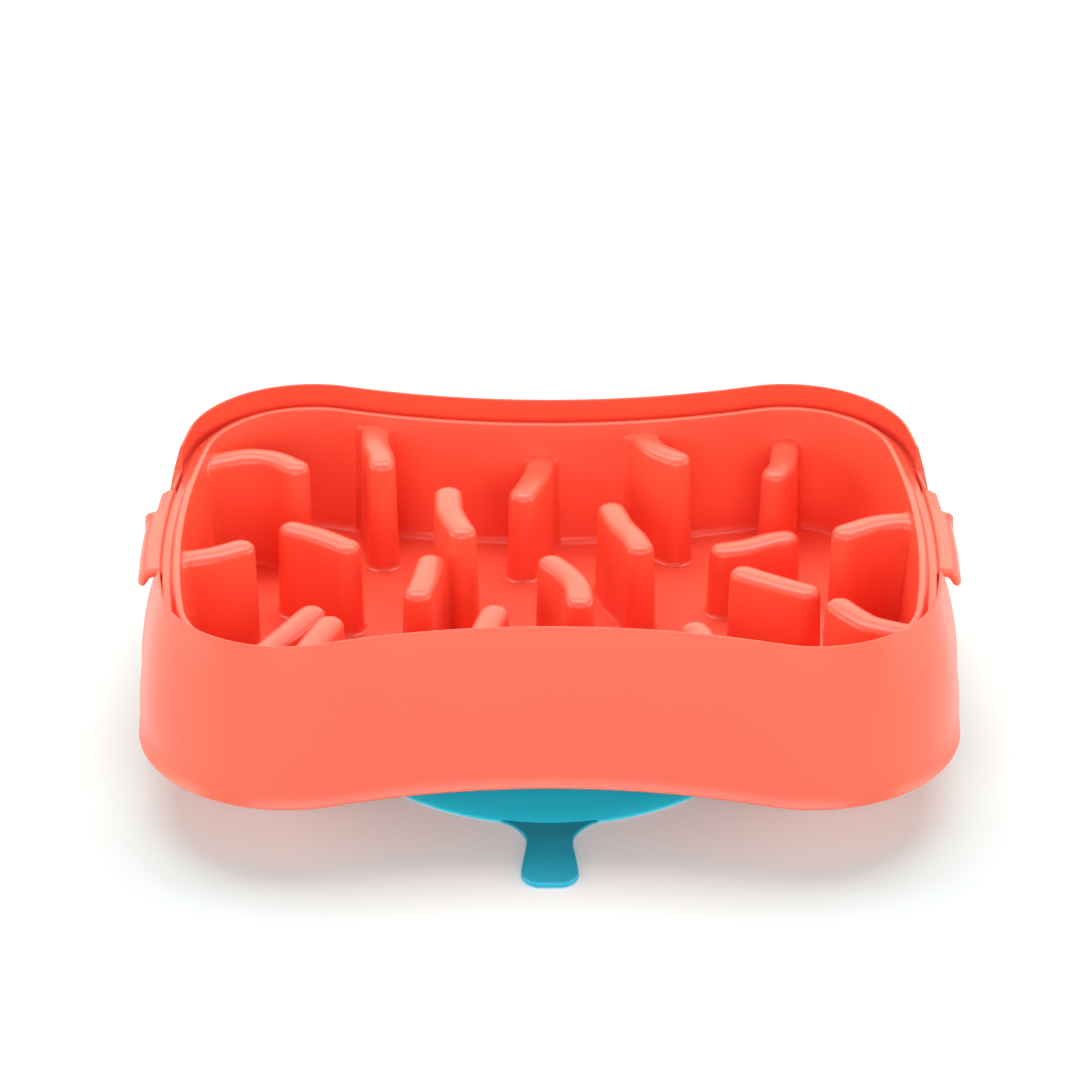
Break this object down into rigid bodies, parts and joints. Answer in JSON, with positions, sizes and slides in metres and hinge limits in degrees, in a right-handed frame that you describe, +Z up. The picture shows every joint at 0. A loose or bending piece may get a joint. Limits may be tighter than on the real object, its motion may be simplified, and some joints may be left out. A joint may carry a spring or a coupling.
{
  "type": "slow feeder bowl",
  "caption": "Waisted slow feeder bowl with a lift-out maze insert of standing ridges, end grip tabs and a suction cup with a pull tab.",
  "frame": {"origin": "on the table, under the middle of the part's box", "axes": "+X along the bowl, +Y from the pull tab's side to the rear, +Z up"},
  "size_m": [0.298, 0.2308, 0.0838],
  "materials": {
    "outer_bowl": "satin",
    "maze_insert": "satin",
    "suction_cup": "satin silicone",
    "lock_plug": "matte",
    "pull_tab": "satin silicone"
  },
  "bodies": {
    "cup": {"suction_cup": "suction_cup"},
    "bowl": {"outer_bowl": "outer_bowl", "lock_plug": "lock_plug"},
    "insert": {"maze_insert": "maze_insert", "maze_ridges": "maze_insert"},
    "tab": {"pull_tab": "pull_tab"}
  },
  "joints": [
    {"name": "cup_press", "type": "slide", "parent": "cup", "child": "bowl", "axis": [0, 0, 1], "range_m": [-0.008, 0], "stiffness_N_per_m": 3000, "springref_m": 0.004, "deforming": ["suction_cup"]},
    {"name": "insert_lift", "type": "slide", "parent": "bowl", "child": "insert", "axis": [0, 0, 1], "range_m": [0, 0.062]},
    {"name": "tab_pull", "type": "hinge", "parent": "cup", "child": "tab", "pos_m": [0, -0.0763, 0.002], "axis": [-1, 0, 0], "range_deg": [0, 40]}
  ]
}
